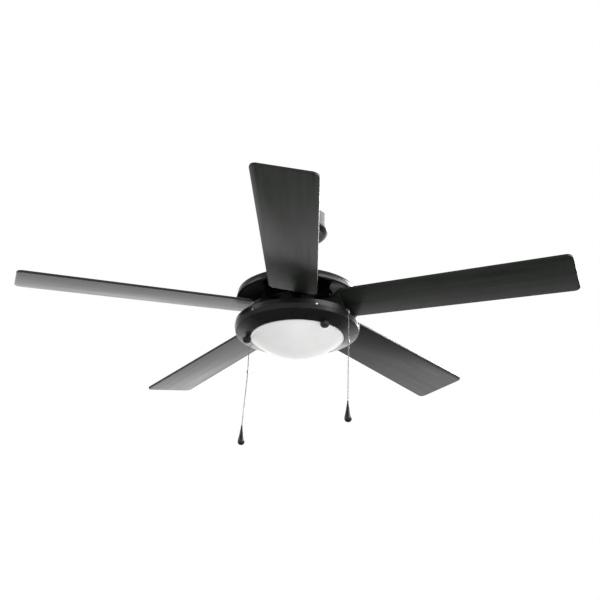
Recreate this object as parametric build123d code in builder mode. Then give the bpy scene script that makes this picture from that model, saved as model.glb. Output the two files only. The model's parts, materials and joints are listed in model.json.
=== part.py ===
from build123d import *
import math
import os

os.makedirs("parts", exist_ok=True)

# Five-blade ceiling fan with a shallow bowl light. Millimetres, +Z up.
# Origin: on the spin axis, in the ceiling plane that the hanger bracket bolts to.
# Rises and drops below are counted from the plane that the blades turn in.

# ---- overall sizes ----
blade_drop = 247.0            # ceiling down to the blade plane
tip_radius = 660.0            # spin axis to blade tip
drum_radius = 147.0           # lower edge of the motor housing
pan_radius = 147.0            # upper edge of the light pan
pan_drop = 33.0               # blade plane down to the top of the light pan
sheet = 1.5                   # pressed steel wall
clear = 0.3                   # gap between pieces that only seat on each other
running = 0.05                # radial clearance of a shaft or pin that turns
slip = 0.1                    # radial clearance of screws and pins in their holes

# ---- blades ----
blade_count = 5
first_blade = -91.7           # azimuth of blade 1, degrees
blade_root = 117.0            # spin axis to the root end
blade_tip_width = 137.0
blade_root_width = 113.0
blade_thickness = 5.5
blade_pitch = 10.7            # the edge on the right, looking outwards, is the higher one
blade_shift = 6.8             # centre line stands this far towards the high edge
blade_droop = 0.4             # degrees, tips below roots
tip_corner = 15.0
root_corner = 12.0
blade_screw_row = 135.0       # spin axis to the row of blade screws
blade_screw_pitch = 30.0
blade_screw_radius = 2.4
blade_screw_bite = 4.2        # screws go in from above and stop inside the blade

# ---- blade irons ----
iron_thickness = 3.0
iron_tab_width = 40.0
iron_tab_start = 46.0
iron_tab_end = 94.0
iron_pad_width = 86.0
iron_pad_start = 114.0
iron_pad_end = 154.0
iron_screw_circle = 62.0
iron_screw_offset = 12.0
iron_screw_radius = 2.4

# ---- motor ----
rotor_bottom = 16.0           # blade plane up to the underside of the lower bell
rotor_height = 47.0
rotor_radius = 78.0
bell_wall = 4.0
bell_floor = 5.0
bell_flange = 6.0
flange_thickness = 3.9
shaft_radius = 7.5
shaft_bore = 4.5
shaft_drop = 34.0             # blade plane down to the lower end of the shaft
bearing_radius = 17.5
bearing_width = 11.0
bearing_boss = 4.5
air_gap = 0.4
core_height = 14.0
core_radius = 60.0
cage_height = 18.0
slot_count = 12
slot_inner = 34.0
slot_outer = 55.0
slot_width = 8.0
winding_height = 6.0
vent_radius = 6.0
vent_circle = 41.0

# ---- motor housing ----
lip_height = 16.0             # lower edge up to the seam groove
housing_rise = 25.0           # blade plane up to the lower edge
housing_top_rise = 80.0
housing_hole = 24.0
lip_taper = 3.2
shoulder_height = 7.0
shoulder_run = 8.0
crown_radius = 60.0
lower_lip = 6.0
groove = 0.7

# ---- hanging parts ----
canopy_radius = 75.0
canopy_depth = 45.0
canopy_corner = 12.0
ball_radius = 26.0
ball_drop = 22.0              # ceiling down to the centre of the hanger ball
ball_top_cut = 12.0
ball_bottom_cut = 17.0
swivel = 12.0                 # degrees that the ball lets the rod swing each way
rod_radius = 13.35
rod_wall = 2.85
pin_radius = 3.0
coupling_radius = 22.0
coupling_bottom_rise = 66.0
coupling_top_rise = 112.0
coupling_flange_radius = 42.0
rod_seat_rise = 88.0
coupling_pin_rise = 100.0
bracket_plate = 2.5
bracket_half_width = 27.0
slot_spacing = 88.9
slot_length = 13.0
slot_half_width = 2.8
seat_plate = 3.0
tab_half_width = 9.0
tab_height = 16.0
canopy_screw_drop = 9.0
cover_radius = 50.0
cover_height = 41.0

# ---- light pan ----
pan_bulge = 2.0               # widest line of the pan wall beyond its upper edge
pan_wall_height = 25.5
pan_widest = 13.0             # upper edge down to the widest line
seat_drop = 69.0              # blade plane down to the glass seat
lip_drop = 71.6               # blade plane down to the lower lip
glass_radius = 110.5
glass_rest = 7.0              # width of the seat under the glass flange
glass_opening = glass_radius - glass_rest
lip_gap = 1.5
lip_wall = 1.5
gasket_thickness = 1.0
glass_flange = 3.3
bowl_radius = glass_radius - 4.5
bowl_depth = 43.1
glass_wall = 3.0
wall_screw_count = 6
first_wall_screw = -73.3
wall_screw_drop = 46.0
wall_screw_radius = 1.9
adapter_radius = 20.0
adapter_flange = 45.0
adapter_top_rise = 8.0
adapter_screw_circle = 36.0
reflector_radius = glass_opening - 2.5
reflector_drop = 52.0
reflector_flange = reflector_radius + 7.0
reflector_sheet = 1.2
plate_screw_radius = 1.9

# ---- glass knobs and clip ----
knob_azimuths = (-58.0, 182.0)
clip_azimuth = 62.0           # fixed clip that the glass flange is tucked into
clip_width = 14.0
knob_circle = glass_radius + 8.5
knob_radius = 10.3
knob_height = 12.2
knob_neck = 6.0
stud_radius = 2.0

# ---- screws: head radius, head height, shank radius, shank length ----
canopy_screw = (3.8, 2.0, 2.0, 10.0)
housing_screw = (3.8, 2.2, 2.0, 8.0)
bell_screw = (2.6, 1.8, 1.5, 2 * flange_thickness + 2.0)
blade_screw = (4.6, 2.2, blade_screw_radius, iron_thickness + blade_screw_bite)
iron_screw = (4.4, 2.4, iron_screw_radius, iron_thickness + bell_floor + 1.5)
adapter_screw = (3.6, 2.0, plate_screw_radius, 6.0)
reflector_screw = (3.0, 2.0, plate_screw_radius, 5.0)
pan_screw = (3.3, 1.6, wall_screw_radius, 8.0)
housing_screw_circle = 34.0
housing_screw_azimuths = (30, 150, 270)
adapter_screw_azimuths = (0, 120, 240)
reflector_screw_azimuths = (60, 180, 300)
vent_azimuths = (14, 74, 134, 194, 254, 314)
bell_screw_azimuths = (44, 104, 164, 224, 284, 344)

# ---- lamps ----
lamp_drop = 77.0
lamp_offset = 34.0
holder_radius = 16.0
holder_length = 32.0
holder_back = 56.0
cap_radius = 12.8
cap_length = 24.0
globe_radius = 22.0
globe_centre = 26.0

# ---- small pieces inside ----
wire_radius = 1.1
clip_wire = 0.8
capacitor_length = 30.0
capacitor_width = 46.0
capacitor_height = 13.0
speed_switch_width = 30.0
speed_switch_height = 19.0
light_switch_height = 17.0
reverse_body_width = 22.0
reverse_body_height = 13.0
button_width = 5.0
button_height = 4.2
button_stand = 5.0            # pan wall out to the end of the reverse button

# ---- switches and chains ----
light_azimuth = -40.0         # outlet of the lamp switch
speed_azimuth = 140.0         # outlet of the speed switch
outlet_drop = 41.0
outlet_radius = 3.2
outlet_bore = 2.1
outlet_bend = 5.0
chain_stand = pan_radius + 7.0  # spin axis to the hanging chain
chain_radius = 1.6
mouth_drop = 50.5
switch_depth = 26.0
switch_width = 27.0
switch_outer = pan_radius - 9.0
reverse_azimuth = 76.7
reverse_travel = 5.0
connector_drop = 114.0
connector_length = 9.0
connector_radius = 2.7
bead_bore = 1.9
bead_rise = 0.6               # connector mouth up to the centre of the top bead
neck_length = 3.0
pendant_length = 49.0
pendant_radius = 8.7
pendant_neck = 2.3

blade_z = -blade_drop


def save(part, name):
    """Label one finished piece and write its file."""
    part.label = name
    export_step(part, f"parts/{name}.step")


def radial_plane(azimuth, radius, height):
    """Plane that faces outwards from the spin axis, with its X along the tangent."""
    angle = math.radians(azimuth)
    outward = Vector(math.cos(angle), math.sin(angle), 0)
    tangent = Vector(-math.sin(angle), math.cos(angle), 0)
    return Plane(origin=outward * radius + Vector(0, 0, height), x_dir=tangent, z_dir=outward)


def meridian_plane(azimuth):
    """Upright plane through the spin axis: local X outwards, local Y up."""
    angle = math.radians(azimuth)
    outward = Vector(math.cos(angle), math.sin(angle), 0)
    normal = outward.cross(Vector(0, 0, 1))
    return Plane(origin=(0, 0, 0), x_dir=outward, z_dir=normal)


def flat_plane(azimuth, radius, height, facing=1):
    """Level plane at one azimuth, facing up or down."""
    angle = math.radians(azimuth)
    point = (radius * math.cos(angle), radius * math.sin(angle), height)
    return Plane(origin=point, x_dir=(math.cos(angle), math.sin(angle), 0), z_dir=(0, 0, facing))


def add_ring(outer, inner, low, high, mode=Mode.ADD):
    """Upright ring added to the open part."""
    with BuildSketch(Plane.XY.offset(low)) as face:
        Circle(outer)
        if inner > 0:
            Circle(inner, mode=Mode.SUBTRACT)
    extrude(face.sketch, amount=high - low, mode=mode)


def add_screw(seat, sizes):
    """Pan-head screw in the open part: head on the seat plane, shank behind it."""
    head_radius, head_height, shank_radius, shank_length = sizes
    with Locations(seat.location):
        Cylinder(head_radius, head_height, align=(Align.CENTER, Align.CENTER, Align.MIN))
        Cylinder(shank_radius, shank_length, align=(Align.CENTER, Align.CENTER, Align.MAX))


def cut_hole(seat, radius, depth):
    """Round hole in the open part, half of its depth on each side of the plane."""
    with Locations(seat.location):
        Cylinder(radius, depth, mode=Mode.SUBTRACT)


def add_box(seat, length, width, height, mode=Mode.ADD):
    """Box in the open part, standing on a plane."""
    with Locations(seat.location):
        Box(length, width, height, align=(Align.CENTER, Align.CENTER, Align.MIN), mode=mode)


# ---------------------------------------------------------------- ceiling bracket
seat_top = -ball_drop - 13.5
seat_bottom = seat_top - seat_plate
leg_inner = ball_radius + 2.0
leg_outer = leg_inner + bracket_plate
plate_radius = canopy_radius - sheet - 1.0
tab_outer = plate_radius - 0.6

with BuildPart() as ceiling_bracket:
    with BuildSketch(Plane.XY.offset(-bracket_plate)):
        Circle(plate_radius)
        Rectangle(2 * bracket_half_width, 2 * plate_radius, mode=Mode.INTERSECT)
        Circle(ball_radius - 8.0, mode=Mode.SUBTRACT)
        with Locations((0, slot_spacing / 2), (0, -slot_spacing / 2)):
            SlotOverall(slot_length, 2 * slot_half_width, rotation=90, mode=Mode.SUBTRACT)
    extrude(amount=bracket_plate)
    for side in (-1, 1):
        leg = Plane(origin=(0, side * (leg_inner + bracket_plate / 2), seat_bottom))
        add_box(leg, 2 * bracket_half_width, bracket_plate, -seat_bottom - bracket_plate / 2)
        tab = Plane(origin=(0, side * (tab_outer - bracket_plate / 2), -tab_height))
        add_box(tab, 2 * tab_half_width, bracket_plate, tab_height - bracket_plate / 2)
    add_box(Plane.XY.offset(seat_bottom), 2 * bracket_half_width, 2 * leg_outer, seat_plate)
    with Locations((0, 0, -ball_drop)):
        Sphere(ball_radius + clear, mode=Mode.SUBTRACT)
    mouth = Plane(origin=(bracket_half_width / 2, 0, seat_bottom - 1))
    add_box(mouth, bracket_half_width + 1, 2 * rod_radius + 2, seat_plate + 2, Mode.SUBTRACT)
    for side in (-90, 90):
        cut_hole(radial_plane(side, tab_outer, -canopy_screw_drop), canopy_screw[2] + slip, 12)
save(ceiling_bracket.part, "ceiling_bracket")

# ---------------------------------------------------------------- canopy
rod_hole = rod_radius / math.cos(math.radians(swivel)) + 2.0
rod_hole += (canopy_depth - ball_drop) * math.sin(math.radians(swivel))

with BuildPart() as canopy:
    with BuildSketch(Plane.XZ):
        with BuildLine():
            FilletPolyline(
                (canopy_radius, 0),
                (canopy_radius - 1.2, -canopy_depth),
                (rod_hole, -canopy_depth),
                radius=canopy_corner,
            )
            offset(amount=sheet, side=Side.RIGHT)
        make_face()
    revolve(axis=Axis.Z)
    for side in (-90, 90):
        cut_hole(radial_plane(side, canopy_radius, -canopy_screw_drop), canopy_screw[2] + slip, 12)
save(canopy.part, "canopy")

with BuildPart() as canopy_screws:
    for side in (-90, 90):
        add_screw(radial_plane(side, canopy_radius, -canopy_screw_drop), canopy_screw)
save(canopy_screws.part, "canopy_screws")

# ---------------------------------------------------------------- hanger ball and rod
rod_top = -ball_drop + ball_top_cut + 2.0
rod_bottom = blade_z + rod_seat_rise
pin_height = blade_z + coupling_pin_rise

with BuildPart() as hanger_ball:
    with Locations((0, 0, -ball_drop)):
        Sphere(ball_radius)
    split(bisect_by=Plane.XY.offset(-ball_drop + ball_top_cut), keep=Keep.BOTTOM)
    split(bisect_by=Plane.XY.offset(-ball_drop - ball_bottom_cut), keep=Keep.TOP)
    add_ring(rod_radius + slip, 0, -ball_drop - ball_radius, -ball_drop + ball_radius, Mode.SUBTRACT)
    cut_hole(Plane(origin=(0, 0, -ball_drop), z_dir=(1, 0, 0)), pin_radius + slip, 2 * ball_radius)
save(hanger_ball.part, "hanger_ball")

with BuildPart() as ball_pin:
    with Locations(Plane(origin=(0, 0, -ball_drop), z_dir=(1, 0, 0)).location):
        Cylinder(pin_radius, 2 * ball_radius - 8)
    chamfer(ball_pin.edges().filter_by(GeomType.CIRCLE), 0.6)
save(ball_pin.part, "ball_pin")

with BuildPart() as downrod:
    add_ring(rod_radius, rod_radius - rod_wall, rod_bottom, rod_top)
    cut_hole(Plane(origin=(0, 0, -ball_drop), z_dir=(1, 0, 0)), pin_radius + slip, 3 * rod_radius)
    cut_hole(Plane(origin=(0, 0, pin_height), z_dir=(1, 0, 0)), pin_radius + slip, 3 * rod_radius)
save(downrod.part, "downrod")

# ---------------------------------------------------------------- coupling on the motor
flange_top = blade_z + housing_top_rise - sheet
with BuildPart() as motor_coupling:
    add_ring(coupling_radius, 0, blade_z + coupling_bottom_rise, blade_z + coupling_top_rise)
    add_ring(coupling_flange_radius, 0, flange_top - 4.5, flange_top)
    add_ring(rod_radius + slip, 0, rod_bottom, blade_z + coupling_top_rise, Mode.SUBTRACT)
    add_ring(shaft_radius, 0, blade_z + coupling_bottom_rise, rod_bottom, Mode.SUBTRACT)
    cut_hole(Plane(origin=(0, 0, pin_height), z_dir=(1, 0, 0)), pin_radius + slip, 3 * coupling_radius)
    for azimuth in housing_screw_azimuths:
        cut_hole(flat_plane(azimuth, housing_screw_circle, flange_top), housing_screw[2] + slip, 20)
    chamfer(motor_coupling.edges().filter_by(GeomType.CIRCLE).sort_by(Axis.Z)[-1], 1.0)
save(motor_coupling.part, "motor_coupling")

with BuildPart() as coupling_pin:
    with Locations(Plane(origin=(-coupling_radius, 0, pin_height), z_dir=(1, 0, 0)).location):
        Cylinder(pin_radius, 2 * coupling_radius + 5, align=(Align.CENTER, Align.CENTER, Align.MIN))
        Cylinder(pin_radius + 2, 2.5, align=(Align.CENTER, Align.CENTER, Align.MAX))
    cut_hole(Plane(origin=(coupling_radius + 2.4, 0, pin_height)), 1.0, 20)
save(coupling_pin.part, "coupling_pin")

clip_x = coupling_radius + 2.4
with BuildPart() as coupling_clip:
    with BuildLine(Plane(origin=(clip_x, 0, pin_height), x_dir=(1, 0, 0), z_dir=(0, -1, 0))) as clip_path:
        FilletPolyline((0, 9), (0, -10), (5.5, -10), (5.5, 6), radius=2.6)
    with BuildSketch(Plane(origin=(clip_x, 0, pin_height + 9), z_dir=(0, 0, -1))):
        Circle(clip_wire)
    sweep(path=clip_path.line)
save(coupling_clip.part, "coupling_clip")

cover_base = blade_z + housing_top_rise + clear
cover_top = cover_base + cover_height
with BuildPart() as coupling_cover:
    with BuildSketch(Plane.XZ):
        with BuildLine():
            FilletPolyline(
                (rod_radius + clear, cover_top),
                (rod_radius + 18, cover_top - 3),
                (cover_radius - 3, cover_base + 22),
                (cover_radius, cover_base),
                radius=9,
            )
            offset(amount=sheet, side=Side.RIGHT)
        make_face()
    revolve(axis=Axis.Z)
save(coupling_cover.part, "coupling_cover")

# ---------------------------------------------------------------- motor housing
housing_low = blade_z + housing_rise
seam = housing_low + lip_height
housing_top = blade_z + housing_top_rise
shoulder = drum_radius - lip_taper
with BuildPart() as motor_housing:
    with BuildSketch(Plane.XZ):
        with BuildLine():
            FilletPolyline(
                (drum_radius - lower_lip, housing_low),
                (drum_radius, housing_low),
                (shoulder, seam + 1.5),
                (shoulder - shoulder_run, seam + shoulder_height),
                (crown_radius, housing_top - 1.8),
                (crown_radius - 14, housing_top),
                (housing_hole, housing_top),
                radius=(1.6, 3.0, 5.0, 12.0, 6.0),
            )
            offset(amount=sheet, side=Side.LEFT)
        make_face()
    revolve(axis=Axis.Z)
    add_ring(drum_radius + 1, shoulder - groove, seam - 0.6, seam + 0.6, Mode.SUBTRACT)
    for azimuth in housing_screw_azimuths:
        cut_hole(flat_plane(azimuth, housing_screw_circle, housing_top), housing_screw[2] + slip, 8)
save(motor_housing.part, "motor_housing")

with BuildPart() as housing_screws:
    for azimuth in housing_screw_azimuths:
        add_screw(flat_plane(azimuth, housing_screw_circle, housing_top), housing_screw)
save(housing_screws.part, "housing_screws")

# ---------------------------------------------------------------- motor
bell_low = blade_z + rotor_bottom
bell_high = bell_low + rotor_height
mid = (bell_low + bell_high) / 2
shaft_low = blade_z - shaft_drop
with BuildPart() as motor_shaft:
    add_ring(shaft_radius, shaft_bore, shaft_low, rod_bottom)
save(motor_shaft.part, "motor_shaft")

with BuildPart() as stator_core:
    add_ring(core_radius, shaft_radius, mid - core_height / 2, mid + core_height / 2)
    with BuildSketch(Plane.XY.offset(mid - core_height / 2)):
        with PolarLocations((slot_inner + slot_outer) / 2, slot_count):
            RectangleRounded(slot_outer - slot_inner, slot_width, 2)
    extrude(amount=core_height, mode=Mode.SUBTRACT)
save(stator_core.part, "stator_core")

leg_length = slot_outer - slot_inner - 4
with BuildPart() as stator_windings:
    for side in (-1, 1):
        face = mid + side * (core_height / 2 + 0.05)
        far = face + side * winding_height
        add_ring(slot_outer - 1, slot_inner - 1, min(face, far), max(face, far))
    with BuildSketch(Plane.XY.offset(mid - core_height / 2 - 0.1)):
        with PolarLocations((slot_inner + slot_outer) / 2, slot_count):
            Rectangle(leg_length, slot_width - 2)
    extrude(amount=core_height + 0.2)
save(stator_windings.part, "stator_windings")

with BuildPart() as rotor_cage:
    add_ring(rotor_radius - bell_wall, core_radius + air_gap, mid - cage_height / 2, mid + cage_height / 2)
save(rotor_cage.part, "rotor_cage")

split_gap = 0.1
iron_screw_turn = math.degrees(math.atan2(iron_screw_offset, iron_screw_circle))
iron_screw_reach = math.hypot(iron_screw_offset, iron_screw_circle)
blade_azimuths = [first_blade + 360 / blade_count * index for index in range(blade_count)]


def bell(floor_low, wall_end, boss_end, flange_far):
    """One half of the rotor shell, from its outer floor face to the joint between the halves."""
    up = 1 if wall_end > floor_low else -1
    spans = {
        "floor": (floor_low, floor_low + up * bell_floor),
        "wall": (floor_low, wall_end),
        "boss": (floor_low, boss_end),
        "flange": (flange_far, wall_end),
    }
    radii = {
        "floor": (rotor_radius, bearing_radius),
        "wall": (rotor_radius, rotor_radius - bell_wall),
        "boss": (bearing_radius + bearing_boss, bearing_radius),
        "flange": (rotor_radius + bell_flange, rotor_radius - bell_wall),
    }
    with BuildPart() as half:
        for name, (start, end) in spans.items():
            outer, inner = radii[name]
            add_ring(outer, inner, min(start, end), max(start, end))
        for azimuth in vent_azimuths:
            cut_hole(flat_plane(azimuth, vent_circle, floor_low), vent_radius, 4 * bell_floor)
        for azimuth in bell_screw_azimuths:
            spot = flat_plane(azimuth, rotor_radius + bell_flange / 2, wall_end)
            cut_hole(spot, bell_screw[2] + slip, 4 * flange_thickness)
        if up > 0:
            for azimuth in blade_azimuths:
                for side in (-1, 1):
                    spot = flat_plane(azimuth + side * iron_screw_turn, iron_screw_reach, floor_low)
                    cut_hole(spot, iron_screw_radius + slip, 30)
    return half.part


lower_bell_end = mid - split_gap / 2
upper_bell_end = mid + split_gap / 2
rotor_lower_bell = bell(
    bell_low, lower_bell_end, bell_low + bearing_width + 1, lower_bell_end - flange_thickness
)
save(rotor_lower_bell, "rotor_lower_bell")
rotor_upper_bell = bell(
    bell_high, upper_bell_end, bell_high - bearing_width - 1, upper_bell_end + flange_thickness
)
save(rotor_upper_bell, "rotor_upper_bell")

with BuildPart() as motor_bearings:
    inner = shaft_radius + running
    add_ring(bearing_radius, inner, bell_low + 0.5, bell_low + 0.5 + bearing_width)
    add_ring(bearing_radius, inner, bell_high - 0.5 - bearing_width, bell_high - 0.5)
save(motor_bearings.part, "motor_bearings")

with BuildPart() as bell_screws:
    for azimuth in bell_screw_azimuths:
        head = flat_plane(azimuth, rotor_radius + bell_flange / 2, upper_bell_end + flange_thickness)
        add_screw(head, bell_screw)
save(bell_screws.part, "bell_screws")


# ---------------------------------------------------------------- blades and irons
def blade_frame(azimuth):
    """Place of one blade: local X outwards, local Z square to the blade."""
    turn = Location((0, 0, blade_z), (0, 0, azimuth))
    droop = Location((0, 0, 0), (0, blade_droop, 0))
    pitch = Location((0, 0, 0), (-blade_pitch, 0, 0))
    return turn * droop * pitch


def on_blade(azimuth, x, y, z, rotation=(0, 0, 0)):
    """Plane on one blade at a local place."""
    return Plane(blade_frame(azimuth) * Location((x, y, z), rotation))


blade_low_face = -blade_thickness / 2
blade_high_face = blade_thickness / 2
blade_screw_spots = [-blade_shift + blade_screw_pitch * step for step in (-1, 0, 1)]
tab_low = bell_low - iron_thickness

for number, azimuth in enumerate(blade_azimuths, start=1):
    with BuildPart() as blade:
        with BuildSketch(on_blade(azimuth, 0, -blade_shift, blade_low_face)) as outline:
            with BuildLine():
                Polyline(
                    (blade_root, -blade_root_width / 2),
                    (tip_radius, -blade_tip_width / 2),
                    (tip_radius, blade_tip_width / 2),
                    (blade_root, blade_root_width / 2),
                    close=True,
                )
            make_face()
            fillet(outline.vertices().filter_by_position(Axis.X, tip_radius - 1, tip_radius + 1), tip_corner)
            fillet(outline.vertices().filter_by_position(Axis.X, blade_root - 1, blade_root + 1), root_corner)
        extrude(amount=blade_thickness)
        for y in blade_screw_spots:
            spot = on_blade(azimuth, blade_screw_row, y, blade_high_face)
            cut_hole(spot, blade_screw_radius + slip, 2 * (blade_screw_bite + slip))
    save(blade.part, f"blade_{number}")

    with BuildPart() as iron:
        with BuildSketch(flat_plane(azimuth, 0, tab_low)) as tab_face:
            with Locations(((iron_tab_start + iron_tab_end) / 2, 0)):
                Rectangle(iron_tab_end - iron_tab_start, iron_tab_width)
            fillet(tab_face.vertices().filter_by_position(Axis.X, 0, iron_tab_start + 1), 8)
        extrude(amount=iron_thickness)
        neck_start = radial_plane(azimuth, iron_tab_end, tab_low + iron_thickness / 2)
        with BuildSketch(neck_start) as neck_root:
            Rectangle(iron_tab_width, iron_thickness)
        pad_middle = blade_high_face + iron_thickness / 2
        neck_end = Plane(
            origin=on_blade(azimuth, iron_pad_start, -blade_shift, pad_middle).origin,
            x_dir=on_blade(azimuth, 0, 0, 0).y_dir,
            z_dir=on_blade(azimuth, 0, 0, 0).x_dir,
        )
        with BuildSketch(neck_end) as neck_tip:
            Rectangle(iron_pad_width, iron_thickness)
        loft([neck_root.sketch, neck_tip.sketch], ruled=True)
        with BuildSketch(on_blade(azimuth, 0, -blade_shift, blade_high_face)) as pad_face:
            with Locations(((iron_pad_start + iron_pad_end) / 2, 0)):
                Rectangle(iron_pad_end - iron_pad_start, iron_pad_width)
            outer_corners = pad_face.vertices().filter_by_position(Axis.X, iron_pad_end - 1, iron_pad_end + 1)
            fillet(outer_corners, 12)
        extrude(amount=iron_thickness)
        for y in blade_screw_spots:
            cut_hole(on_blade(azimuth, blade_screw_row, y, 0), blade_screw_radius + slip, 30)
        for side in (-1, 1):
            spot = flat_plane(azimuth + side * iron_screw_turn, iron_screw_reach, tab_low)
            cut_hole(spot, iron_screw_radius + slip, 20)
    save(iron.part, f"blade_iron_{number}")

with BuildPart() as blade_screws:
    for azimuth in blade_azimuths:
        for y in blade_screw_spots:
            add_screw(on_blade(azimuth, blade_screw_row, y, blade_high_face + iron_thickness), blade_screw)
        for side in (-1, 1):
            under = flat_plane(azimuth + side * iron_screw_turn, iron_screw_reach, tab_low, -1)
            add_screw(under, iron_screw)
save(blade_screws.part, "blade_screws")

# ---------------------------------------------------------------- light kit carrier
plate_top = blade_z - pan_drop - 2.0
plate_low = plate_top - sheet
pan_top = blade_z - pan_drop
pan_bottom = pan_top - pan_wall_height
wall_inner = pan_radius - sheet
plate_radius_out = wall_inner - clear
screw_azimuths = [first_wall_screw + 360 / wall_screw_count * index for index in range(wall_screw_count)]
outlet_azimuths = (light_azimuth, speed_azimuth)


def cut_wall_openings():
    """Screw holes, chain outlets and the reverse slot through an upright wall of the open part."""
    for azimuth in screw_azimuths:
        cut_hole(radial_plane(azimuth, pan_radius, blade_z - wall_screw_drop), wall_screw_radius + slip, 14)
    for azimuth in outlet_azimuths:
        cut_hole(radial_plane(azimuth, pan_radius, blade_z - outlet_drop), outlet_radius + slip, 14)
    slot = radial_plane(reverse_azimuth, pan_radius - 7, blade_z - wall_screw_drop)
    with Locations(slot.location * Location((reverse_travel / 2, 0, 0))):
        Box(
            button_width + 1 + reverse_travel,
            button_height + 0.8,
            14,
            align=(Align.CENTER, Align.CENTER, Align.MIN),
            mode=Mode.SUBTRACT,
        )


with BuildPart() as light_kit_adapter:
    add_ring(adapter_radius, shaft_radius, plate_top, blade_z + adapter_top_rise)
    add_ring(adapter_flange, shaft_radius, plate_top, plate_top + 3)
    for azimuth in adapter_screw_azimuths:
        cut_hole(flat_plane(azimuth, adapter_screw_circle, plate_top), plate_screw_radius + slip, 20)
save(light_kit_adapter.part, "light_kit_adapter")

with BuildPart() as mounting_plate:
    add_ring(plate_radius_out, shaft_radius + 1, plate_low, plate_top)
    add_ring(plate_radius_out, plate_radius_out - sheet, pan_bottom + 3, plate_top)
    cut_wall_openings()
    for azimuth in adapter_screw_azimuths:
        cut_hole(flat_plane(azimuth, adapter_screw_circle, plate_low), plate_screw_radius + slip, 10)
    for azimuth in reflector_screw_azimuths:
        spot = flat_plane(azimuth, (reflector_radius + reflector_flange) / 2, plate_low)
        cut_hole(spot, plate_screw_radius + slip, 10)
save(mounting_plate.part, "mounting_plate")

flange_low = plate_low - reflector_sheet
with BuildPart() as plate_screws:
    for azimuth in adapter_screw_azimuths:
        add_screw(flat_plane(azimuth, adapter_screw_circle, plate_low, -1), adapter_screw)
    for azimuth in reflector_screw_azimuths:
        spot = flat_plane(azimuth, (reflector_radius + reflector_flange) / 2, flange_low, -1)
        add_screw(spot, reflector_screw)
save(plate_screws.part, "plate_screws")

# ---------------------------------------------------------------- light pan
lip_inner = glass_radius + lip_gap
lip_outer = lip_inner + lip_wall
lip_low = blade_z - lip_drop
seat_low = blade_z - seat_drop
with BuildPart() as light_kit_pan:
    with BuildSketch(Plane.XZ):
        with BuildLine():
            widest = (pan_radius + pan_bulge, pan_top - pan_widest)
            Line((pan_radius, pan_top), widest)
            FilletPolyline(widest, (pan_radius - 0.4, pan_bottom), (lip_outer, lip_low), radius=3.4)
            offset(amount=sheet, side=Side.RIGHT)
        make_face()
    revolve(axis=Axis.Z)
    add_ring(lip_outer, lip_inner, lip_low, seat_low + sheet)
    add_ring(lip_outer, glass_opening, seat_low, seat_low + sheet)
    cut_wall_openings()
    for azimuth in knob_azimuths:
        with Locations(flat_plane(azimuth, knob_circle, lip_low - knob_height + 2).location):
            Cylinder(stud_radius, knob_height + 6, align=(Align.CENTER, Align.CENTER, Align.MIN))
        with Locations(flat_plane(azimuth, knob_circle, lip_low + 2).location):
            Cylinder(2 * stud_radius, 5, align=(Align.CENTER, Align.CENTER, Align.MIN))
    clip_top = seat_low - gasket_thickness - glass_flange - clear
    clip_inner = bowl_radius + 1.5
    clip_outer = lip_outer + 4.0
    shelf = flat_plane(clip_azimuth, (clip_inner + clip_outer) / 2, clip_top - sheet)
    add_box(shelf, clip_outer - clip_inner, clip_width, sheet)
    leg = flat_plane(clip_azimuth, clip_outer - sheet / 2, clip_top - sheet)
    add_box(leg, sheet, clip_width, lip_low + 2.0 - clip_top + sheet)
save(light_kit_pan.part, "light_kit_pan")

with BuildPart() as pan_screws:
    for azimuth in screw_azimuths:
        seat = radial_plane(azimuth, pan_radius + pan_bulge, blade_z - wall_screw_drop)
        add_screw(seat, pan_screw)
save(pan_screws.part, "pan_screws")

# ---------------------------------------------------------------- glass and its knobs
glass_top = seat_low - gasket_thickness
glass_low = glass_top - glass_flange
bowl_bottom = glass_low - bowl_depth
with BuildPart() as glass_gasket:
    add_ring(glass_radius - 0.5, glass_opening + 0.5, glass_top, seat_low)
save(glass_gasket.part, "glass_gasket")

sphere_radius = (bowl_radius**2 + bowl_depth**2) / (2 * bowl_depth)
sphere_centre = bowl_bottom + sphere_radius
half_span = math.asin(bowl_radius / sphere_radius)
inner_edge = glass_opening - 0.6
inner_half = math.asin(inner_edge / (sphere_radius - glass_wall))


def on_bowl(radius, angle):
    """Point of the bowl's profile on a sphere about the bowl's centre."""
    return (radius * math.sin(angle), sphere_centre - radius * math.cos(angle))


with BuildPart() as glass_bowl:
    with BuildSketch(Plane.XZ):
        with BuildLine():
            outer = ThreePointArc(
                (0, bowl_bottom), on_bowl(sphere_radius, half_span / 2), (bowl_radius, glass_low)
            )
            inner_radius = sphere_radius - glass_wall
            inner_arc = ThreePointArc(
                (0, bowl_bottom + glass_wall),
                on_bowl(inner_radius, inner_half / 2),
                on_bowl(inner_radius, inner_half),
            )
            Polyline(
                outer @ 1,
                (glass_radius, glass_low),
                (glass_radius, glass_top),
                (inner_edge, glass_top),
                inner_arc @ 1,
            )
            Line(outer @ 0, inner_arc @ 0)
        make_face()
    revolve(axis=Axis.Z)
save(glass_bowl.part, "glass_bowl")

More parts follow.
